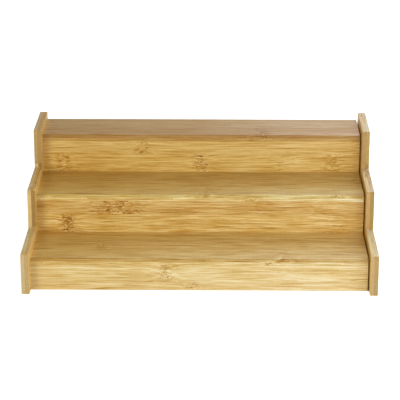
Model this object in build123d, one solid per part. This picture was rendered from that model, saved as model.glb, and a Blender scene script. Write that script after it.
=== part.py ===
from build123d import *
from collections import defaultdict
from dataclasses import dataclass
import os

os.makedirs("parts", exist_ok=True)

# Expanding three-tier step shelf in laminated bamboo.
# Frame: X left to right, Y front to back, Z up.  Origin at the middle of the
# closed shelf's footprint, on the plane it stands on.  Millimetres.
# The outer section (left end panel with its steps) covers the inner section
# (right end panel with its steps), which slides out along +X.

# ---------------------------------------------------------- driving sizes
closed_width = 380.0          # over both end panels, pushed together
depth = 235.0                 # front of the end panels to their back
panel_t = 8.8                 # end panel thickness
board_t = 7.6                 # tread, riser and rail thickness
tier_names = ("lower", "middle", "top")
tread_tops = (36.5, 80.5, 124.5)   # heights of the three outer tread tops
step_pitch = 80.0             # front-to-back distance between outer risers
panel_lip = 8.8               # end panel edge above each outer tread
panel_setback = 13.0          # panel front edge ahead of the outer riser face
end_gap = 1.3                 # outer boards' free end to the right panel
inner_end_gap = 0.3           # inner boards' free end to the left panel
nest_drop = 0.8               # gap under each outer tread
nest_back = 1.0               # gap behind each outer riser
rail_h = 22.0                 # height of the rear rails
rib_t = 7.6                   # support rib at the inner section's free end
travel = 230.0                # how far the inner section pulls out

nose_r = 2.5                  # rounded front edge of each tread
arris_r = 0.5                 # eased edges of treads, risers and rails
joint_arris_r = 0.8 * arris_r      # front edges where tread meets riser
panel_arris_r = 0.9           # eased edges of the end panels
panel_corner_r = 1.6          # outward corners of the end panel outline

# Fluteless bamboo dowels
dowel_d = 4.0
dowel_fit = 0.03              # glue space round a dowel
dowel_end = 0.3               # glue space past a dowel's end
dowel_short = 4.6             # dowel length held by the thin way of a board
dowel_long = 9.4              # dowel length held along a board
rod_chamfer = 0.4             # on both ends of dowels and pins
tread_dowel_front = 20.0      # panel dowel behind a tread's front edge
tread_dowel_rear = 14.0       # panel dowel ahead of a tread's rear edge
riser_dowel_heights = (0.27, 0.73)           # fractions of the riser height
outer_dowel_xs = (-135.0, -45.0, 45.0, 135.0)
inner_dowel_xs = (-140.0, -50.0, 40.0, 130.0)
# support rib dowels: (tier, y)
rib_dowels = ((0, -72.0), (0, -30.0), (1, 8.0), (1, 52.0), (2, 86.5))

# Stop pins and the blind grooves they run in
pin_d = 5.0
pin_x = -165.0                # stop pin position, closed
pin_rise = 3.6                # pin above the inner tread's gap, in the groove
groove_w = 6.0                # groove in the outer tread's underside
groove_h = 4.2
groove_left_gap = 1.5         # groove end to the pin, closed
groove_right_gap = 0.2        # groove end to the pin, pulled out
cut_overrun = 1.0             # cutters run past open faces by this much

# ------------------------------------------------------ derived positions
y_front = -depth / 2
y_back = depth / 2
x_left = -closed_width / 2
x_right = closed_width / 2
left_face = x_left + panel_t       # inner face of the left panel
right_face = x_right - panel_t     # inner face of the right panel


@dataclass
class Section:
    """One set of steps; tiers are counted 0 to 2 from the lowest."""
    name: str
    x0: float
    x1: float
    free_x: float      # the end not fixed to a panel
    fronts: list       # y of the riser front faces
    tops: list         # z of the tread tops
    back: float        # y of the rear rail's back

    def board(self, tier, kind):
        return f"{self.name}_{tier_names[tier]}_{kind}"

    @property
    def rail(self):
        return f"{self.name}_rear_rail"

    def underside(self, tier):
        return self.tops[tier] - board_t

    def riser_base(self, tier):
        """A riser starts level with the underside of the tread in front of it."""
        return 0.0 if tier == 0 else self.underside(tier - 1)

    def tread_rear(self, tier):
        """A tread's rear edge meets the face of the next riser."""
        return self.fronts[tier + 1] if tier < 2 else self.back


outer = Section(
    "outer", left_face, right_face - end_gap, free_x=right_face - end_gap,
    fronts=[y_front + panel_setback + tier * step_pitch for tier in range(3)],
    tops=list(tread_tops), back=y_back)
# The inner boards sit one board thickness plus the gap lower and further
# back; the rear rail is the same amount further forward.
inner = Section(
    "inner", left_face + inner_end_gap, right_face, free_x=left_face + inner_end_gap,
    fronts=[y + board_t + nest_back for y in outer.fronts],
    tops=[z - board_t - nest_drop for z in outer.tops],
    back=y_back - board_t - nest_back)

parts = {}                    # board name: solid
rods = defaultdict(list)      # group name: dowels or pins
cuts = defaultdict(list)      # board name: holes and grooves to cut from it


# ---------------------------------------------------------- shape helpers
def block(x0, x1, y0, y1, z0, z1):
    return Pos((x0 + x1) / 2, (y0 + y1) / 2, (z0 + z1) / 2) * Box(
        x1 - x0, y1 - y0, z1 - z0)


def side_prism(outline, x0, thickness):
    """Extrude a (y, z) outline towards +X from x0."""
    face = Plane.YZ * make_face(Polyline(*outline, close=True))
    return Pos(x0, 0, 0) * extrude(face, amount=thickness, dir=(1, 0, 0))


def edges_at(part, y, z, tol=1e-3):
    """Edges whose centre is at the given y and z."""
    return [e for e in part.edges()
            if abs(e.center().Y - y) < tol and abs(e.center().Z - z) < tol]


def ease_end(part, x, radius):
    """Ease the outline of the end face that lies at x."""
    outline = [e for e in part.edges()
               if abs(e.bounding_box().min.X - x) < 1e-3
               and abs(e.bounding_box().max.X - x) < 1e-3]
    return fillet(outline, radius)


axis_turns = {"x": Rot(0, 90, 0), "y": Rot(-90, 0, 0), "z": Rot(0, 0, 0)}


def rod(axis, joint, low, high, radius):
    """Cylinder along an axis, from low to high measured from the joint point."""
    place = Pos(*joint) * axis_turns[axis] * Pos(0, 0, (low + high) / 2)
    return place * Cylinder(radius, high - low)


def eased_rod(*args):
    plain = rod(*args)
    return chamfer(plain.edges().filter_by(GeomType.CIRCLE), rod_chamfer)


# ------------------------------------------------------------- end panels
def end_panel(x0):
    """Stair-shaped panel, its edge a lip above each outer tread."""
    z1, z2, z3 = [z + panel_lip for z in tread_tops]
    y1 = y_front + step_pitch
    y2 = y_front + 2 * step_pitch
    outline = [(y_front, 0), (y_front, z1), (y1, z1), (y1, z2), (y2, z2),
               (y2, z3), (y_back, z3), (y_back, 0)]
    panel = side_prism(outline, x0, panel_t)
    outward = {outline[i] for i in (1, 3, 5, 6)}
    corners = [e for e in panel.edges()
               if any(abs(e.center().Y - y) < 1e-3 and abs(e.center().Z - z) < 1e-3
                      for y, z in outward)]
    panel = fillet(corners, panel_corner_r)
    rims = [e for e in panel.edges()
            if abs(e.bounding_box().min.X - e.bounding_box().max.X) < 1e-4]
    return fillet(rims, panel_arris_r)


# ------------------------------------------------- treads, risers, rails
def tread(section, tier):
    y0, y1 = section.fronts[tier], section.tread_rear(tier)
    under, top = section.underside(tier), section.tops[tier]
    board = block(section.x0, section.x1, y0, y1, under, top)
    board = fillet(edges_at(board, y0, top), nose_r)
    board = fillet(edges_at(board, y0, under), joint_arris_r)
    if tier == 2:    # no riser stands behind the top tread
        board = fillet(edges_at(board, y1, top), arris_r)
    return ease_end(board, section.free_x, arris_r)


def riser(section, tier):
    y0 = section.fronts[tier]
    z0, z1 = section.riser_base(tier), section.underside(tier)
    board = block(section.x0, section.x1, y0, y0 + board_t, z0, z1)
    board = fillet(edges_at(board, y0, z1), joint_arris_r)
    if tier == 0:    # the lowest riser stands on the floor
        board = fillet(edges_at(board, y0, z0), arris_r)
    board = fillet(edges_at(board, y0 + board_t, z0), arris_r)
    return ease_end(board, section.free_x, arris_r)


def rear_rail(section):
    y0, y1 = section.back - board_t, section.back
    z1 = section.underside(2)
    z0 = z1 - rail_h
    rail = block(section.x0, section.x1, y0, y1, z0, z1)
    rail = fillet(edges_at(rail, y1, z0) + edges_at(rail, y0, z0), arris_r)
    return ease_end(rail, section.free_x, arris_r)


# ------------------------------------------------------------ support rib
# y of the rib's front, its two steps and its back
rib_ys = [y + board_t for y in inner.fronts] + [inner.back - board_t]


def support_rib():
    """Stair-shaped leg under the inner section's free end."""
    outline = [(rib_ys[0], 0)]
    for tier in range(3):
        z = inner.underside(tier)
        outline += [(rib_ys[tier], z), (rib_ys[tier + 1], z)]
    outline.append((rib_ys[3], 0))
    rib = side_prism(outline, inner.x0, rib_t)
    return fillet(edges_at(rib, (rib_ys[0] + rib_ys[3]) / 2, 0), arris_r)


# ----------------------------------------------------------------- dowels
def dowel(group, boards, axis, joint, low=-dowel_long, high=dowel_short):
    """Dowel through the joint point, with its hole in both boards."""
    rods[group].append(eased_rod(axis, joint, low, high, dowel_d / 2))
    hole = rod(axis, joint, low - dowel_end, high + dowel_end,
               dowel_d / 2 + dowel_fit)
    for board in boards:
        cuts[board].append(hole)


def panel_dowels(section, side, face_x):
    """Dowels from the ends of a section's boards into its end panel."""
    if side == "left":
        low, high = -dowel_short, dowel_long
    else:
        low, high = -dowel_long, dowel_short

    def add(board, y, z):
        dowel(f"{side}_panel_dowels", (board, f"{side}_end_panel"), "x",
              (face_x, y, z), low, high)

    for tier in range(3):
        y0 = section.fronts[tier]
        for y in (y0 + tread_dowel_front, section.tread_rear(tier) - tread_dowel_rear):
            add(section.board(tier, "tread"), y, section.tops[tier] - board_t / 2)
        base = section.riser_base(tier)
        height = section.underside(tier) - base
        for fraction in riser_dowel_heights:
            add(section.board(tier, "riser"), y0 + board_t / 2, base + fraction * height)
    add(section.rail, section.back - board_t / 2, section.underside(2) - rail_h / 2)


def step_dowels(section, xs):
    """Dowels joining a section's treads to its risers and rear rail."""
    group = f"{section.name}_step_dowels"
    for tier in range(3):
        tread_name = section.board(tier, "tread")
        under = section.underside(tier)
        for x in xs:
            # tread glued down on the top edge of its riser
            dowel(group, (section.board(tier, "riser"), tread_name), "z",
                  (x, section.fronts[tier] + board_t / 2, under))
            if tier < 2:
                # tread's rear edge against the face of the next riser
                dowel(group, (tread_name, section.board(tier + 1, "riser")), "y",
                      (x, section.fronts[tier + 1], section.tops[tier] - board_t / 2))
            else:
                # top tread glued down on the rear rail
                dowel(group, (section.rail, tread_name), "z",
                      (x, section.back - board_t / 2, under))


def rib_dowel(tier, y):
    dowel("support_rib_dowels", ("inner_support_rib", inner.board(tier, "tread")),
          "z", (inner.x0 + rib_t / 2, y, inner.underside(tier)))


# ------------------------------------------------------ stop pin, groove
def stop_pin(tier, y):
    """Pin through an inner tread, and its groove under the outer tread."""
    base = (pin_x, y, inner.underside(tier))
    rods["stop_pins"].append(
        eased_rod("z", base, 0, board_t + nest_drop + pin_rise, pin_d / 2))
    cuts[inner.board(tier, "tread")].append(
        rod("z", base, -cut_overrun, board_t + cut_overrun, pin_d / 2 + dowel_fit))

    x0 = pin_x - pin_d / 2 - groove_left_gap
    x1 = pin_x + travel + pin_d / 2 + groove_right_gap
    slot = extrude(SlotOverall(x1 - x0, groove_w), amount=groove_h + cut_overrun)
    cuts[outer.board(tier, "tread")].append(
        Pos((x0 + x1) / 2, y, outer.underside(tier) - cut_overrun) * slot)


# --------------------------------------------------------------- assembly
parts["left_end_panel"] = end_panel(x_left)
parts["right_end_panel"] = end_panel(right_face)
for section in (outer, inner):
    for tier in range(3):
        parts[section.board(tier, "tread")] = tread(section, tier)
        parts[section.board(tier, "riser")] = riser(section, tier)
    parts[section.rail] = rear_rail(section)
parts["inner_support_rib"] = support_rib()

panel_dowels(outer, "left", left_face)
panel_dowels(inner, "right", right_face)
step_dowels(outer, outer_dowel_xs)
step_dowels(inner, inner_dowel_xs)
for tier, y in rib_dowels:
    rib_dowel(tier, y)
stop_pin(0, (outer.fronts[0] + outer.fronts[1]) / 2)
stop_pin(2, (rib_ys[2] + rib_ys[3]) / 2)

# ----------------------------------------------------------------- output
for name, body in parts.items():
    for cut in cuts[name]:
        body = body - cut
    export_step(body.solids()[0], f"parts/{name}.step")
for name, group in rods.items():
    export_step(Compound(children=[r.solids()[0] for r in group]), f"parts/{name}.step")
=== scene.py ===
"""A stepped bamboo shelf with an outer and an inner set of three treads and risers.

X runs across the shelf, the steps climb from the front (-Y) to the back (+Y), Z is up.
Objects, floor, lights and camera are in metres; the wood materials work in millimetres.
"""

import math
import random

import bpy
from mathutils import Matrix, Vector

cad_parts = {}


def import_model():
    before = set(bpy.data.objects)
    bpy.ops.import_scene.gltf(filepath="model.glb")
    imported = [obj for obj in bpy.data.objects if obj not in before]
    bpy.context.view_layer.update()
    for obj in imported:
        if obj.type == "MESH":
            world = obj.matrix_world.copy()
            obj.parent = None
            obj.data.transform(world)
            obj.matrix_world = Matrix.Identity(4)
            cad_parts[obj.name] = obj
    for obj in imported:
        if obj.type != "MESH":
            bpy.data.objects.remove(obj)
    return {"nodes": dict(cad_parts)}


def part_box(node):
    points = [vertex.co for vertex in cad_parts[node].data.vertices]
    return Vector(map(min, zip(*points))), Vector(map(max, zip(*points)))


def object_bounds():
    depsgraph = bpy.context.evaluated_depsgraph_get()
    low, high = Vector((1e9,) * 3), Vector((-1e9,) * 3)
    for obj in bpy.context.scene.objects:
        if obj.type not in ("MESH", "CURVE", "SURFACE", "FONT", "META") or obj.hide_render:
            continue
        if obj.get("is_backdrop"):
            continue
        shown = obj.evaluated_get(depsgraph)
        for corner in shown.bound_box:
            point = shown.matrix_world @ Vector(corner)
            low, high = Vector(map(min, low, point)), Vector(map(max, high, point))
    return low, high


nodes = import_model()["nodes"]
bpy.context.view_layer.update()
scene = bpy.context.scene

MM = 1000.0                     # millimetres in a metre


# ------------------------------------------------------------------ shader arithmetic

def operator(kind, swapped=False):
    """A method that adds a Math node of this kind."""
    def apply(self, other=None):
        if swapped:
            return self.tree.math(kind, other, self)
        return self.tree.math(kind, self, other)
    return apply


class Value:
    """A scalar socket that can be added, multiplied and compared in Python."""

    def __init__(self, tree, out):
        self.tree = tree
        self.out = out

    __add__ = operator("ADD")
    __radd__ = operator("ADD", swapped=True)
    __sub__ = operator("SUBTRACT")
    __rsub__ = operator("SUBTRACT", swapped=True)
    __mul__ = operator("MULTIPLY")
    __rmul__ = operator("MULTIPLY", swapped=True)
    __truediv__ = operator("DIVIDE")
    abs = operator("ABSOLUTE")
    floor = operator("FLOOR")
    max = operator("MAXIMUM")
    min = operator("MINIMUM")

    def clamp(self):
        return self.tree.math("ADD", self, 0.0, clamp=True)


class Tree:
    """Builds a node tree from expressions. A point is a tuple of three scalars."""

    def __init__(self, node_tree):
        self.node_tree = node_tree
        self.count = 0

    def node(self, kind, **props):
        made = self.node_tree.nodes.new(kind)
        for name, value in props.items():
            setattr(made, name, value)
        column, row = divmod(self.count, 14)
        made.location = (column * 190, -row * 150)
        self.count += 1
        return made

    def put(self, value, socket):
        if isinstance(value, Value):
            self.node_tree.links.new(value.out, socket)
        elif isinstance(value, bpy.types.NodeSocket):
            self.node_tree.links.new(value, socket)
        else:
            socket.default_value = value

    def put_all(self, values, sockets):
        """Fill sockets in order; None leaves a socket as it is."""
        for i, value in enumerate(values):
            if value is not None:
                self.put(value, sockets[i])

    def math(self, kind, first, second=None, clamp=False):
        made = self.node("ShaderNodeMath", operation=kind, use_clamp=clamp)
        self.put_all((first, second), made.inputs)
        return Value(self, made.outputs[0])

    def rise(self, x, start, stop, first=0.0, last=1.0):
        """first at start, last at stop, smooth in between."""
        made = self.node("ShaderNodeMapRange", interpolation_type="SMOOTHSTEP", clamp=True)
        self.put_all((x, start, stop, first, last), made.inputs)
        return Value(self, made.outputs[0])

    def fall(self, x, start, stop, top=1.0):
        """top at start, 0 at stop."""
        return self.rise(x, start, stop, top, 0.0)

    def vector(self, point):
        made = self.node("ShaderNodeCombineXYZ")
        self.put_all(point, made.inputs)
        return made.outputs[0]

    def split(self, socket):
        made = self.node("ShaderNodeSeparateXYZ")
        self.put(socket, made.inputs[0])
        return [Value(self, out) for out in made.outputs]

    def noise(self, point, detail=1.0, rough=0.5):
        vector = self.vector(point)
        made = self.node("ShaderNodeTexNoise", noise_dimensions="3D")
        self.put(vector, made.inputs["Vector"])
        made.inputs["Scale"].default_value = 1.0
        made.inputs["Detail"].default_value = detail
        made.inputs["Roughness"].default_value = rough
        return Value(self, made.outputs["Fac"])

    def cells(self, point):
        """(distance to the nearest cell centre, a random colour per cell)"""
        vector = self.vector(point)
        made = self.node("ShaderNodeTexVoronoi", voronoi_dimensions="3D", feature="F1")
        self.put(vector, made.inputs["Vector"])
        made.inputs["Scale"].default_value = 1.0
        return Value(self, made.outputs["Distance"]), made.outputs["Color"]

    def red(self, colour):
        made = self.node("ShaderNodeSeparateColor")
        self.put(colour, made.inputs[0])
        return Value(self, made.outputs[0])

    def distance(self, vector, point):
        made = self.node("ShaderNodeVectorMath", operation="DISTANCE")
        self.put(vector, made.inputs[0])
        made.inputs[1].default_value = point
        return Value(self, made.outputs["Value"])

    def mix(self, factor, first, second, blend="MIX"):
        made = self.node("ShaderNodeMix", data_type="RGBA", blend_type=blend, clamp_factor=True)
        self.put(factor, made.inputs[0])
        for colour, socket in ((first, made.inputs[6]), (second, made.inputs[7])):
            self.put((*colour, 1.0) if isinstance(colour, tuple) else colour, socket)
        return made.outputs[2]

    def multiply(self, first, second):
        return self.mix(1.0, first, second, "MULTIPLY")

    def stain(self, amount, colour, tint):
        """The colour, multiplied by the tint where amount is 1."""
        return self.mix(amount, colour, self.multiply(colour, tint))

    def ramp(self, x, colours):
        """Equal hard-edged bands, one per colour."""
        made = self.node("ShaderNodeValToRGB")
        bands = made.color_ramp
        bands.interpolation = "CONSTANT"
        while len(bands.elements) > 1:
            bands.elements.remove(bands.elements[-1])
        bands.elements[0].position = 0.0
        bands.elements[0].color = (*colours[0], 1.0)
        for i, colour in enumerate(colours[1:], 1):
            bands.elements.new(i / len(colours)).color = (*colour, 1.0)
        self.put(x, made.inputs[0])
        return made.outputs[0]


def new_material(name):
    material = bpy.data.materials.new(name)
    material.use_nodes = True
    material.node_tree.nodes.clear()
    return material, Tree(material.node_tree)


def finish_wood(tree, colour, roughness, height, relief):
    """Shade the wood and return its shader. relief is the bump distance in metres."""
    shader = tree.node("ShaderNodeBsdfPrincipled")
    out = tree.node("ShaderNodeOutputMaterial")
    tree.put(colour, shader.inputs["Base Color"])
    tree.put(roughness, shader.inputs["Roughness"])
    bump = tree.node("ShaderNodeBump")
    bump.inputs["Strength"].default_value = 0.30
    bump.inputs["Distance"].default_value = relief
    tree.put(height, bump.inputs["Height"])
    tree.put(bump.outputs[0], shader.inputs["Normal"])
    tree.put(shader.outputs[0], out.inputs[0])
    return shader


def wear(node, material):
    nodes[node].data.materials.clear()
    nodes[node].data.materials.append(material)


# ------------------------------------------------------------------ the bamboo itself

def fibre_group():
    """Long fibres, pores and knuckle marks of one bamboo strip, in millimetres.

    U runs along the grain, V across the strip, W through the ply, Off is the distance
    from the strip's middle line. Factors on positions are texture frequencies per mm;
    factors on patterns are their strengths.
    """
    group = bpy.data.node_groups.new("bamboo_fibre", "ShaderNodeTree")
    for direction, names in (("INPUT", ("U", "V", "W", "Off", "Seed", "Core", "Halo", "End")),
                             ("OUTPUT", ("Tone", "Dark", "Pale", "Height"))):
        for name in names:
            group.interface.new_socket(name, in_out=direction, socket_type="NodeSocketFloat")
    tree = Tree(group)
    noise, rise, fall = tree.noise, tree.rise, tree.fall
    given = tree.node("NodeGroupInput")
    result = tree.node("NodeGroupOutput")
    along, across, depth, off, seed, core, halo, end = (
        Value(tree, given.outputs[i]) for i in range(8))

    # the fibres wander a little everywhere, close up beside a knuckle and curl inside it
    sway = noise((along * 0.0065, across * 0.045, seed), detail=0.0) - 0.5
    flame = noise((along * 0.10, across * 0.42, seed + depth * 0.1)) - 0.5
    curl = noise((along * 0.30, across * 0.50, seed + depth * 0.3)) - 0.5
    bend = sway * 4.5 + off * halo * 0.22 + flame * halo * 4.6 + curl * core * 2.6
    bent_across = across + bend
    bent_depth = depth + bend * 0.15 + seed * 7.0

    def grain(rates, shift=0.0, detail=1.0, rough=0.5):
        """Noise that follows the fibres. rates: frequencies along, across and in depth."""
        third = bent_depth * rates[2]
        if shift:
            third = third + shift
        return noise((along * rates[0], bent_across * rates[1], third), detail, rough)

    # the grain is built with its noises in this order, coarse to fine
    broad = grain((0.0075, 0.16, 0.16))
    band = grain((0.016, 0.55, 0.5))
    hair = grain((0.034, 1.10, 1.1), rough=0.6)
    fine = grain((0.11, 2.4, 2.4))
    cloud = noise((along * 0.03, across * 0.07, seed * 3.0 + depth * 0.08), detail=2.0)

    # thin darker fibre lines that come and go along the strip
    ridge = grain((0.0045, 0.40, 0.42), shift=31.0, detail=0.0)
    keep = rise(grain((0.016, 0.25, 0.2), shift=5.0, detail=0.0), 0.44, 0.60)
    long_line = fall((ridge - 0.5).abs(), 0.004, 0.022) * keep
    ridge = grain((0.007, 0.90, 0.9), shift=57.0, detail=0.0)
    keep = rise(grain((0.026, 0.4, 0.3), shift=9.0, detail=0.0), 0.45, 0.62)
    short_line = fall((ridge - 0.47).abs(), 0.008, 0.040) * keep
    sheen = grain((0.024, 0.80, 0.8), shift=77.0, detail=0.0)
    streak = rise(sheen, 0.60, 0.72)
    shine = rise(sheen, 0.40, 0.28)

    # short open pores: fine dark dashes along the grain
    gap, chance = tree.cells((along * 0.19, bent_across * 1.5, bent_depth * 1.5 + 3.0))
    pore = fall(gap, 0.10, 0.34) * rise(tree.red(chance), 0.62, 0.7)

    # inside a knuckle the fibres break into short dark and light dashes
    dashes = noise((along * 0.20, bent_across * 1.25, seed * 2.0 + depth * 0.5), 1.5, 0.6)
    sparks = noise((along * 0.20 + 19.0, bent_across * 1.25, seed * 2.0 + depth * 0.5),
                   rough=0.6)
    lashes = noise((along * 0.12, bent_across * 0.90 + 7.0, seed * 2.0 + depth * 0.4))
    dash = rise(dashes + (core - 1.0) * 0.18, 0.53, 0.63)
    spark = rise(sparks + (core - 1.0) * 0.18, 0.53, 0.63)
    lash = rise(lashes + (halo - 1.0) * 0.08, 0.53, 0.63) * halo
    glow = rise(lashes, 0.47, 0.37) * halo

    # the cut ends show fibre bundles as dots
    gap, chance = tree.cells((across * 1.25, depth * 1.7, seed + along * 0.02))
    dot = fall(gap, 0.16, 0.36) * rise(tree.red(chance), 0.15, 0.4)
    dim = noise((across * 0.35, depth * 0.9, seed + along * 0.05), detail=2.0)

    def weighted(total, *parts):
        """Add each noise, centred on zero, by its weight."""
        for part, weight in parts:
            total = total + (part - 0.5) * weight
        return total

    side_tone = weighted(1.0, (broad, 0.26), (band, 0.50), (hair, 0.92), (fine, 0.44),
                         (cloud, 0.18)) - core * 0.08 + shine * 0.09
    end_tone = weighted(0.95, (dim, 0.45), (fine, 0.15))
    tone = side_tone + (end_tone - side_tone) * end
    side = 1.0 - end
    dark = (long_line * 0.32 + short_line * 0.28 + streak * 0.20 + pore * 0.14
            + dash * (0.38 + core * 0.22) + lash * 0.34) * side + dot * end * 0.30
    pale = (spark * 0.85 + glow * 0.35) * side
    height = (band - 0.5) * 0.4 + (hair - 0.5) * 0.7 + (fine - 0.5) * 0.8 \
        - dark * 0.5 + pale * 0.2
    tree.put_all((tone, dark.clamp(), pale.clamp(), height), result.inputs)
    return group


FIBRE = fibre_group()

# lit wood of the boards, linear; every strip's own tint multiplies it
HONEY = (0.655, 0.455, 0.155)
BROWN = (0.62, 0.45, 0.20)       # what a glue line or a dark spot does to the wood's colour
WEAR_AND_HIGHLIGHT_TINT = (1.22, 1.20, 1.16)      # paler outer corners: mostly a painted highlight along the edges, partly wear from rubbing
WARMTH = (0.58, 1.05, 2.35)      # a power of the tone per channel: darker wood is browner
GAIN = 1.22                      # brightness after the tone is applied
ROUGHNESS = 0.30
PLY_OFFSET = 100.0               # added to a strip's number in the upper ply
STRIP_GAP = 1000.0               # keeps one strip's knuckles away from the next strip's


def box_mm(node):
    return [Vector(corner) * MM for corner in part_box(node)]


def board(node, grain, across, first_strip, strip_width, tints, knuckles=(), spots=(),
          painted_light_drift=None, seed=0.0, contrast=1.0, spark=1.0, nose=None, ends=None, faces=None,
          lip=0.0, wear_and_highlight=0.25):
    """Give one laminated board its material.

    grain, across: axes of the board's grain and width. first_strip is where a strip
    starts along across, strip_width its width (mm).
    tints: one list per ply, from the low side of the thickness up, of colour
    multipliers per strip.
    knuckles: (u, strip, ply, core width, core strength, halo width, halo strength).
    spots: small dark marks (u, v, w, half length, half height, darkness).
    drift: painted light along the board, the tint at the low and high end of the grain, warmer
    and darker at the left end, paler and bluer at the right. contrast: strength of the tones.
    spark: strength of the pale marks.
    nose: multipliers, one per ply, of the long edge on the low side of across.
    ends, faces: tints of the cut ends and the two flat faces, where they differ.
    lip: how dark the line along the top front corner is. rubbed: how pale the outer corners
    are, mostly a painted highlight along the edges and partly wear from rubbing.
    """
    lo, hi = box_mm(node)
    thick = ({"x", "y", "z"} - {grain, across}).pop()
    grain_axis, width_axis, thick_axis = ("xyz".index(axis) for axis in (grain, across, thick))
    material, tree = new_material("bamboo_" + node)

    coord = tree.node("ShaderNodeTexCoord")
    place = [part * MM for part in tree.split(coord.outputs["Object"])]
    normal = tree.split(coord.outputs["Normal"])
    u, v, w = place[grain_axis], place[width_axis], place[thick_axis]

    strip = ((v - first_strip) / strip_width).floor()
    two_plies = len(tints) > 1
    if two_plies:
        ply_line = lo[thick_axis] + (hi[thick_axis] - lo[thick_axis]) / 2
        upper = tree.math("GREATER_THAN", w, ply_line)
    else:
        upper = 0.0 * u
    cell = strip + upper * PLY_OFFSET
    # a pseudo-random number per strip, from the fraction of a large sine
    wave = tree.math("SINE", cell * 12.9898 + seed * 7.31)
    strip_seed = tree.math("FRACT", wave * 437.585) * 40.0 + seed

    # knuckles: only on their own strip, with a ragged outline
    ragged = u + (tree.noise((u * 0.1, v * 0.32, strip_seed)) - 0.5) * 7.0
    spot_place = tree.vector((ragged, cell * STRIP_GAP, 0.0))
    core = halo = None
    for at, on_strip, ply, core_width, core_strength, halo_width, halo_strength in knuckles:
        row = (on_strip + PLY_OFFSET * ply) * STRIP_GAP
        away = tree.distance(spot_place, (at, row, 0.0))
        mark = tree.fall(away, core_width * 0.45, core_width * 1.25, top=core_strength)
        core = mark if core is None else core.max(mark)
        mark = tree.fall(away, 0.0, halo_width, top=halo_strength)
        halo = mark if halo is None else halo.max(mark)

    def facing(axis):
        return tree.rise(normal[axis].abs(), 0.6, 0.8)

    end = facing(grain_axis)
    fibre = tree.node("ShaderNodeGroup")
    fibre.node_tree = FIBRE
    within = (v - first_strip) / strip_width - strip
    off = (within - 0.5) * strip_width
    tree.put_all((u, v, w, off, strip_seed, core, halo, end), fibre.inputs)
    tone, dark, pale, height = (Value(tree, fibre.outputs[i]) for i in range(4))

    # glue lines between the strips and between the plies, and the small dark spots
    to_line = (0.5 - (within - 0.5).abs()) * strip_width
    glue = tree.fall(to_line, 0.05, 0.38, top=0.34)
    if two_plies:
        glue = glue.max(tree.fall((w - ply_line).abs(), 0.04, 0.30, top=0.55))
    for spot_u, spot_v, spot_w, length, size, amount in spots:
        scaled = tree.node("ShaderNodeVectorMath", operation="MULTIPLY")
        tree.put(tree.vector((u, v, w)), scaled.inputs[0])
        scaled.inputs[1].default_value = (1.0 / length, 1.0 / size, 1.0 / size)
        away = tree.distance(scaled.outputs[0], (spot_u / length, spot_v / size, spot_w / size))
        glue = glue.max(tree.fall(away, 0.5, 1.1, top=amount))

    # outer corners are painted paler, mostly as a highlight along the edges and partly as wear
    # from rubbing: there the second nearest side is close too
    inside = [(hi[i] - lo[i]) / 2 - (place[i] - (lo[i] + hi[i]) / 2).abs() for i in range(3)]
    nearest = inside[0].min(inside[1]).min(inside[2])
    farthest = inside[0].max(inside[1]).max(inside[2])
    second = inside[0] + inside[1] + inside[2] - nearest - farthest
    wobble = (tree.noise((u * 0.05, v * 0.3, w * 0.3)) - 0.5) * 1.2
    wear_and_highlight_mask = tree.fall(second + wobble, 0.1, 0.9)

    def by_ply(colours):
        return tree.mix(upper, *colours) if two_plies else colours[0]

    def strips(rows):
        ramps = []
        for row in rows:
            colours = [tuple(x * y for x, y in zip(HONEY, tint)) for tint in row]
            ramps.append(tree.ramp((strip + 0.5) / float(len(row)), colours))
        return by_ply(ramps)

    colour = strips(tints)
    if faces:
        colour = tree.mix(facing(thick_axis), colour, strips(faces))
    if ends:
        colour = tree.mix(end, colour, strips(ends))
    if lip:
        from_corner = (v - lo[width_axis]).max(hi[thick_axis] - w)
        glue = glue.max(tree.fall(from_corner, 0.5, 1.6, top=lip))
    if nose:
        front = tree.rise(normal[width_axis] * -1.0, 0.35, 0.75)
        colour = tree.stain(front, colour, by_ply(nose))
    # painted light: a tint along the grain, warmer and darker at the left end and paler and
    # bluer at the right
    if painted_light_drift:
        span = tree.rise(u, lo[grain_axis], hi[grain_axis])
        colour = tree.multiply(colour, tree.mix(span, *painted_light_drift))
    level = (tone * (1.0 - dark) * (1.0 + pale * (0.45 * spark))).max(0.1).min(1.36)
    shade = tree.node("ShaderNodeCombineColor")
    for i, power in enumerate(WARMTH):
        tree.put(tree.math("POWER", level, power * contrast) * GAIN, shade.inputs[i])
    colour = tree.multiply(colour, shade.outputs[0])
    colour = tree.stain(glue, colour, BROWN)
    # painted highlight, with some wear from rubbing, on the outer corners
    colour = tree.stain(wear_and_highlight_mask * wear_and_highlight, colour, WEAR_AND_HIGHLIGHT_TINT)

    # dark fibres, glue and cut ends are duller, pale marks and light wood shinier
    roughness = (ROUGHNESS + dark * 0.20 + glue * 0.15 - pale * 0.04
                 + (tone - 1.0) * -0.12 + end * 0.15).clamp()
    shader = finish_wood(tree, colour, roughness, height, relief=0.00012)
    shader.inputs["IOR"].default_value = 1.5
    wear(node, material)


def random_tints(rng, strips):
    tints = []
    for _ in range(strips):
        bright = 1.0 + rng.uniform(-0.10, 0.10)
        warm = rng.uniform(-0.04, 0.04)
        tints.append((bright * (1 + warm * 0.4), bright, bright * (1 - warm * 2.0)))
    return tints


KNUCKLE_GAP = 165.0              # mean distance between knuckles on one strip


def random_knuckles(rng, start, stop, strips):
    """Knuckles on both plies, between two places along the grain."""
    knuckles = []
    for ply in range(2):
        for strip in range(strips):
            u = start + rng.uniform(0.1, 0.9) * KNUCKLE_GAP
            while u < stop - 6:
                knuckles.append((u, strip, ply, rng.uniform(4, 7), rng.uniform(0.6, 1.0),
                                 rng.uniform(18, 28), rng.uniform(0.5, 0.9)))
                u += KNUCKLE_GAP * rng.uniform(0.85, 1.15)
    return knuckles


def pairs(*tints):
    """Each tint for two neighbouring strips."""
    return [tint for tint in tints for _ in range(2)]


# ------------------------------------------------------------------ the boards (mm)

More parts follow.
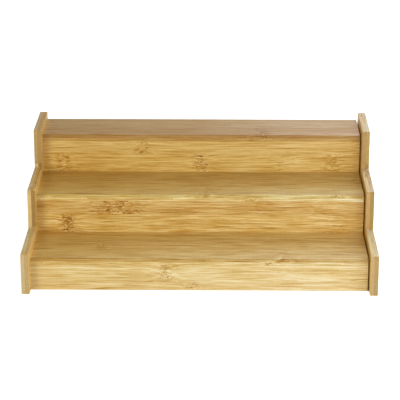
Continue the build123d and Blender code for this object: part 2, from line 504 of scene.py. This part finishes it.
RISER = dict(grain="x", across="z", strip_width=20.7)
TREAD = dict(grain="x", across="y", strip_width=26.7)
PANEL = dict(grain="y", across="z", strip_width=23.5)
LOWER_TREAD_FRONT = -104.5
STEP_DEPTH = 80.0
PANEL_STRIPS = 6
PANEL_REACH = 117.5              # the end panels' knuckles lie within this of the middle
ONE = (1.0, 1.0, 1.0)
# painted light on the risers: warmer at the left end, paler at the right
PAINTED_LIGHT_WARM_TO_PALE = ((1.0, 0.97, 0.88), (1.0, 1.01, 1.08))

# outer risers: strips stacked in Z
board("outer_top_riser", **RISER, first_strip=59.8, seed=1.0, contrast=1.12,
      tints=[[(1.03, 1.01, 0.94), (1.01, 0.98, 0.85), (0.98, 0.96, 0.86)]],
      knuckles=[(-68.1, 2, 0, 9, 0.9, 24, 1.0), (-157.1, 1, 0, 10, 0.8, 28, 1.0),
                (-2.0, 1, 0, 9, 0.95, 26, 1.0), (148.7, 1, 0, 9, 0.8, 22, 0.9),
                (92.9, 1, 0, 1, 0.0, 24, 0.7), (172.0, 2, 0, 1, 0.0, 20, 0.4)],
      painted_light_drift=PAINTED_LIGHT_WARM_TO_PALE)
board("outer_middle_riser", **RISER, first_strip=15.8, seed=2.0, contrast=1.5, spark=0.75,
      tints=[[ONE, (1.02, 1.02, 0.98), (0.91, 0.86, 0.77)]],
      knuckles=[(-92.0, 2, 0, 27, 0.62, 56, 1.2), (-147.2, 1, 0, 9, 1.1, 24, 1.0),
                (133.7, 2, 0, 1, 0.0, 34, 0.5), (150.0, 1, 0, 1, 0.0, 30, 0.4),
                (60.0, 2, 0, 1, 0.0, 30, 0.4)],
      painted_light_drift=PAINTED_LIGHT_WARM_TO_PALE)
board("outer_lower_riser", **RISER, first_strip=-11.7, seed=3.0, contrast=0.95, spark=1.5,
      tints=[[(1.03, 1.13, 1.52), (1.02, 1.12, 1.46)]],
      knuckles=[(-37.1, 1, 0, 7, 1.0, 30, 0.9), (-8.2, 0, 0, 8, 0.9, 24, 0.9),
                (96.0, 1, 0, 1, 0.0, 30, 0.4)],
      painted_light_drift=PAINTED_LIGHT_WARM_TO_PALE)

# outer treads: strips side by side in Y, two plies
# painted sheen: the upper ply's tints, greyer and bluer than the other treads, and the paler,
# bluer right end of this tread
board("outer_top_tread", **TREAD, first_strip=LOWER_TREAD_FRONT + 2 * STEP_DEPTH,
      seed=4.0, contrast=1.15, lip=0.60, wear_and_highlight=0.0,
      tints=[[ONE] * 3, [(0.89, 0.80, 0.95), (0.93, 0.90, 1.15), (0.91, 0.85, 1.00)]],
      nose=[(0.82, 0.76, 0.58), (0.80, 0.74, 0.54)],
      knuckles=[(-3.9, 1, 1, 5, 0.4, 18, 0.5), (68.7, 0, 1, 10, 0.9, 26, 0.8),
                (62.0, 0, 0, 10, 0.6, 26, 0.6)],
      painted_light_drift=((0.99, 0.96, 0.88), (1.02, 1.04, 1.20)))
board("outer_middle_tread", **TREAD, first_strip=LOWER_TREAD_FRONT + STEP_DEPTH,
      seed=5.0, contrast=1.5,
      tints=[[ONE] * 3, [(0.89, 0.86, 0.69), (0.86, 0.77, 0.57), (0.90, 0.83, 0.61)]],
      nose=[(1.20, 1.44, 1.95), (1.14, 1.34, 1.7)],
      knuckles=[(150.3, 0, 1, 7, 0.5, 18, 0.5), (172.3, 1, 1, 6, 0.7, 14, 0.5),
                (7.5, 0, 1, 5, 0.7, 26, 0.8), (54.2, 0, 0, 4, 0.6, 14, 0.6)],
      painted_light_drift=((0.98, 0.92, 0.76), (1.0, 1.03, 1.14)))
board("outer_lower_tread", **TREAD, first_strip=LOWER_TREAD_FRONT,
      seed=6.0, contrast=1.5, lip=0.55, wear_and_highlight=0.0,
      tints=[[ONE] * 3, [(1.04, 1.03, 1.00), (1.04, 1.00, 0.92), (1.03, 0.99, 0.84)]],
      nose=[(1.10, 1.26, 1.60), (0.84, 0.83, 0.78)],
      knuckles=[(-108.2, 1, 1, 6, 0.8, 14, 0.6), (92.6, 0, 1, 5, 0.4, 22, 0.8),
                (73.9, 0, 0, 5, 0.9, 16, 0.7)],
      spots=[(112.0, -66.2, 36.5, 9.0, 1.4, 0.7),
             (154.8, LOWER_TREAD_FRONT, 33.4, 0.9, 0.8, 0.9),
             (-168.9, LOWER_TREAD_FRONT, 31.0, 0.5, 2.4, 0.9)],
      painted_light_drift=((0.99, 0.94, 0.78), (1.0, 1.03, 1.16)))

# end panels: strips stacked in Z, two plies
# partly painted sheen: the outer ply's pale, bluish tints on the top edges
board("left_end_panel", **PANEL, first_strip=0.0, seed=7.0, wear_and_highlight=0.6,
      tints=[pairs((1.20, 1.40, 2.00), (1.16, 1.18, 1.50), (1.06, 1.08, 1.50)),
             pairs((1.12, 1.04, 0.98), (1.00, 0.88, 0.66), (1.00, 0.92, 0.86))],
      ends=[pairs((0.90, 0.98, 1.50), (1.04, 1.10, 1.40), (0.74, 0.72, 0.85)),
            pairs((0.78, 0.82, 0.98), (0.54, 0.47, 0.36), (0.66, 0.60, 0.50))],
      faces=[[(1.04, 1.05, 1.10), (1.00, 1.00, 1.00), (0.98, 0.95, 0.92),
              (1.03, 1.02, 1.04), (1.00, 1.02, 1.08), (0.97, 0.95, 0.93)],
             [(1.16, 1.14, 1.10), (1.12, 1.10, 1.04), (1.02, 0.98, 0.86),
              (1.04, 1.00, 0.88), (1.04, 1.01, 0.96), (1.01, 0.97, 0.92)]],
      knuckles=random_knuckles(random.Random(21), -PANEL_REACH, PANEL_REACH, PANEL_STRIPS))
# painted sheen: the pale, bluish tints on the top edges of both plies, stronger than on the
# left panel
board("right_end_panel", **PANEL, first_strip=0.0, seed=8.0, wear_and_highlight=0.6,
      tints=[pairs((1.20, 1.43, 2.25), (1.19, 1.30, 1.85), (1.19, 1.30, 2.0)),
             pairs((1.18, 1.38, 2.30), (1.03, 1.05, 1.70), (1.20, 1.42, 2.8))],
      ends=[pairs((0.76, 0.75, 0.93), (0.77, 0.71, 0.80), (0.64, 0.60, 0.68)),
            pairs((0.61, 0.60, 0.72), (0.55, 0.52, 0.46), (0.67, 0.66, 0.64))],
      faces=[[(1.00, 0.95, 0.84), (0.97, 0.92, 0.78), (1.01, 0.96, 0.86),
              (0.98, 0.93, 0.80), (0.96, 0.91, 0.78), (1.00, 0.95, 0.84)],
             [(0.99, 0.98, 0.97), (1.03, 1.04, 1.10), (1.00, 0.97, 0.93),
              (0.97, 0.94, 0.90), (1.02, 1.03, 1.07), (0.99, 0.99, 1.00)]],
      knuckles=random_knuckles(random.Random(22), -PANEL_REACH, PANEL_REACH, PANEL_STRIPS))


def plain_boards():
    """Boards that show from the back, from below or when the shelf is drawn out."""
    rng = random.Random(31)
    rail = dict(RISER, strip_width=22.0)
    for node, cut in (("inner_lower_tread", TREAD), ("inner_middle_tread", TREAD),
                      ("inner_top_tread", TREAD), ("inner_lower_riser", RISER),
                      ("inner_middle_riser", RISER), ("inner_top_riser", RISER),
                      ("inner_rear_rail", rail), ("outer_rear_rail", rail)):
        lo, hi = box_mm(node)
        axis = "xyz".index(cut["across"])
        strips = max(1, math.ceil((hi[axis] - lo[axis]) / cut["strip_width"] - 0.01))
        board(node, **cut, first_strip=lo[axis],
              tints=[random_tints(rng, strips), random_tints(rng, strips)],
              knuckles=random_knuckles(rng, lo[0], hi[0], strips), seed=rng.uniform(10, 60))
    lo, hi = box_mm("inner_support_rib")
    board("inner_support_rib", grain="y", across="z", first_strip=0.0, strip_width=21.7,
          tints=[random_tints(rng, 5), random_tints(rng, 5)],
          knuckles=random_knuckles(rng, lo[1], hi[1], 5), seed=64.0)


plain_boards()


def pin_material():
    """Turned bamboo dowels and pins: mottled, with small dark dots."""
    material, tree = new_material("bamboo_dowel")
    coord = tree.node("ShaderNodeTexCoord")
    place = [part * MM for part in tree.split(coord.outputs["Object"])]
    # factors on place are frequencies per mm
    mottle = tree.noise([part * 0.9 for part in place], detail=2.0)
    fine = tree.noise([part * 3.0 for part in place])
    gap, _ = tree.cells([part * 1.6 for part in place])
    dot = tree.fall(gap, 0.12, 0.34, top=0.55)
    tone = 0.95 + (mottle - 0.5) * 0.4 + (fine - 0.5) * 0.3
    grey = tree.node("ShaderNodeCombineColor")
    tree.put_all((tone, tone, tone), grey.inputs)
    colour = tree.multiply((0.60, 0.42, 0.17), grey.outputs[0])
    colour = tree.stain(dot, colour, BROWN)
    roughness = (0.5 + (mottle - 0.5) * 0.3).clamp()
    finish_wood(tree, colour, roughness, fine - dot, relief=0.0001)
    return material


PIN = pin_material()
for name in ("left_panel_dowels", "right_panel_dowels", "outer_step_dowels",
             "inner_step_dowels", "support_rib_dowels", "stop_pins"):
    wear(name, PIN)


# ------------------------------------------------------------------ floor and world (metres)

lo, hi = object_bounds()
centre = Vector(((lo[0] + hi[0]) / 2, (lo[1] + hi[1]) / 2, lo[2]))

FLOOR_GLOW = 0.27                # how much the floor itself lights the object
SEEN_GLOW = 0.6                  # what the camera sees on top of that
WORLD_GLOW = 0.11
FLOOR_HALF = 5.0
FLOOR_CELLS = 24
FLOOR_DROP = 0.0002              # gap under the object


def floor_sheet():
    """A plain pale floor that glows evenly, except under the object's own footprint where the
    glow is taken away as painted shade.
    """
    mesh = bpy.data.meshes.new("floor")
    steps = [(i / FLOOR_CELLS * 2 - 1) * FLOOR_HALF for i in range(FLOOR_CELLS + 1)]
    verts = [(centre.x + x, centre.y + y, lo[2] - FLOOR_DROP) for y in steps for x in steps]
    row = FLOOR_CELLS + 1
    faces = [(j * row + i, j * row + i + 1, (j + 1) * row + i + 1, (j + 1) * row + i)
             for j in range(FLOOR_CELLS) for i in range(FLOOR_CELLS)]
    mesh.from_pydata(verts, [], faces)
    floor = bpy.data.objects.new("floor", mesh)
    scene.collection.objects.link(floor)

    material, tree = new_material("pale_floor")
    coord = tree.node("ShaderNodeTexCoord")
    x, y, _ = tree.split(coord.outputs["Object"])
    front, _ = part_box("outer_lower_riser")
    # painted shade: no glow under the shelf; the glow returns softly across the back edge as a
    # painted shadow
    sides = (x - centre.x).abs() - ((hi[0] - lo[0]) / 2 - 0.004)
    glow_with_painted_shade = tree.rise(sides.max(front[1] - y), -0.0015, 0.0005)
    glow_with_painted_shade = glow_with_painted_shade.max(tree.rise(y, hi[1] - 0.16, hi[1] + 0.10))
    path = tree.node("ShaderNodeLightPath")
    seen = Value(tree, path.outputs["Is Camera Ray"])
    shader = tree.node("ShaderNodeBsdfPrincipled")
    out = tree.node("ShaderNodeOutputMaterial")
    shader.inputs["Base Color"].default_value = (0.80, 0.80, 0.80, 1)
    shader.inputs["Roughness"].default_value = 0.9
    shader.inputs["Specular IOR Level"].default_value = 0.1
    shader.inputs["Emission Color"].default_value = (1, 1, 1, 1)
    tree.put((FLOOR_GLOW + seen * SEEN_GLOW) * glow_with_painted_shade, shader.inputs["Emission Strength"])
    tree.put(shader.outputs[0], out.inputs[0])
    mesh.materials.append(material)
    floor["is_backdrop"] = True


def studio_world():
    """Pure white to the camera, a dim white light to everything else."""
    world = bpy.data.worlds.new("studio")
    scene.world = world
    world.use_nodes = True
    world.node_tree.nodes.clear()
    tree = Tree(world.node_tree)
    dim = tree.node("ShaderNodeBackground")
    white = tree.node("ShaderNodeBackground")
    path = tree.node("ShaderNodeLightPath")
    mixer = tree.node("ShaderNodeMixShader")
    out = tree.node("ShaderNodeOutputWorld")
    tree.put_all(((1, 1, 1, 1), WORLD_GLOW), dim.inputs)
    tree.put_all(((1, 1, 1, 1), 1.0), white.inputs)
    tree.put_all((path.outputs["Is Camera Ray"], dim.outputs[0], white.outputs[0]),
                 mixer.inputs)
    tree.put(mixer.outputs[0], out.inputs[0])


floor_sheet()
studio_world()


# ------------------------------------------------------------------ lights and camera

AIM_HEIGHT = 0.07                # the lights point this far above the floor
WHITE = (1.0, 1.0, 1.0)
COOL = (0.99, 1.0, 1.04)
# name, azimuth and elevation (degrees), distance, size, radiance, tint
# azimuth 0 is the front, 90 the right-hand side
SOFTBOXES = (
    ("left", -38, 15, 2.4, (1.0, 1.0), 6.3, (1.0, 0.96, 0.82)),
    ("right", 45, 10, 2.4, (1.0, 1.0), 1.1, WHITE),
    ("key_low", 30, 20, 0.85, (0.50, 0.45), 2.2, COOL),
    ("key_side", 60, 20, 0.85, (0.55, 0.50), 1.5, (0.98, 1.01, 1.10)),
    ("back_right", 150, 45, 0.85, (0.60, 0.50), 3.4, COOL),
    ("back", 180, 38, 2.6, (1.2, 0.9), 1.3, WHITE),
)


def cos_sin(degrees):
    angle = math.radians(degrees)
    return math.cos(angle), math.sin(angle)


def softbox(name, azimuth, elevation, distance, size, radiance, tint):
    """A soft rectangular light around the object, turned towards it."""
    data = bpy.data.lights.new(name, "AREA")
    data.shape = "RECTANGLE"
    data.size, data.size_y = size
    data.energy = radiance * math.pi * size[0] * size[1]
    data.color = tint
    light = bpy.data.objects.new(name, data)
    scene.collection.objects.link(light)
    cos_a, sin_a = cos_sin(azimuth)
    cos_e, sin_e = cos_sin(elevation)
    target = centre + Vector((0, 0, AIM_HEIGHT))
    light.location = target + distance * Vector((sin_a * cos_e, -cos_a * cos_e, sin_e))
    light.rotation_euler = (target - light.location).to_track_quat("-Z", "Y").to_euler()
    light.visible_camera = False


for entry in SOFTBOXES:
    softbox(*entry)

CAMERA_OFFSET = Vector((0.02631, -1.79703, 0.70386))   # from the middle of the footprint
YAW, PITCH, ROLL = 0.876, 19.548, -0.058               # degrees


def add_camera():
    cos, sin = cos_sin(YAW)
    turn = Matrix(((cos, sin, 0), (-sin, cos, 0), (0, 0, 1)))
    cos, sin = cos_sin(PITCH)
    tilt = Matrix(((1, 0, 0), (0, cos, -sin), (0, sin, cos)))
    cos, sin = cos_sin(ROLL)
    roll = Matrix(((cos, 0, sin), (0, 1, 0), (-sin, 0, cos)))
    right, ahead, up = (roll @ tilt @ turn)[0:3]
    data = bpy.data.cameras.new("camera")
    data.sensor_width = 36.0
    data.sensor_fit = "HORIZONTAL"
    data.lens = 153.585
    data.clip_start = 0.05
    data.clip_end = 40.0
    camera = bpy.data.objects.new("camera", data)
    scene.collection.objects.link(camera)
    camera.matrix_world = Matrix.Translation(centre + CAMERA_OFFSET) @ \
        Matrix((right, up, -Vector(ahead))).transposed().to_4x4()
    scene.camera = camera


add_camera()
scene.view_settings.view_transform = "Standard"

lo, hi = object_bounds()
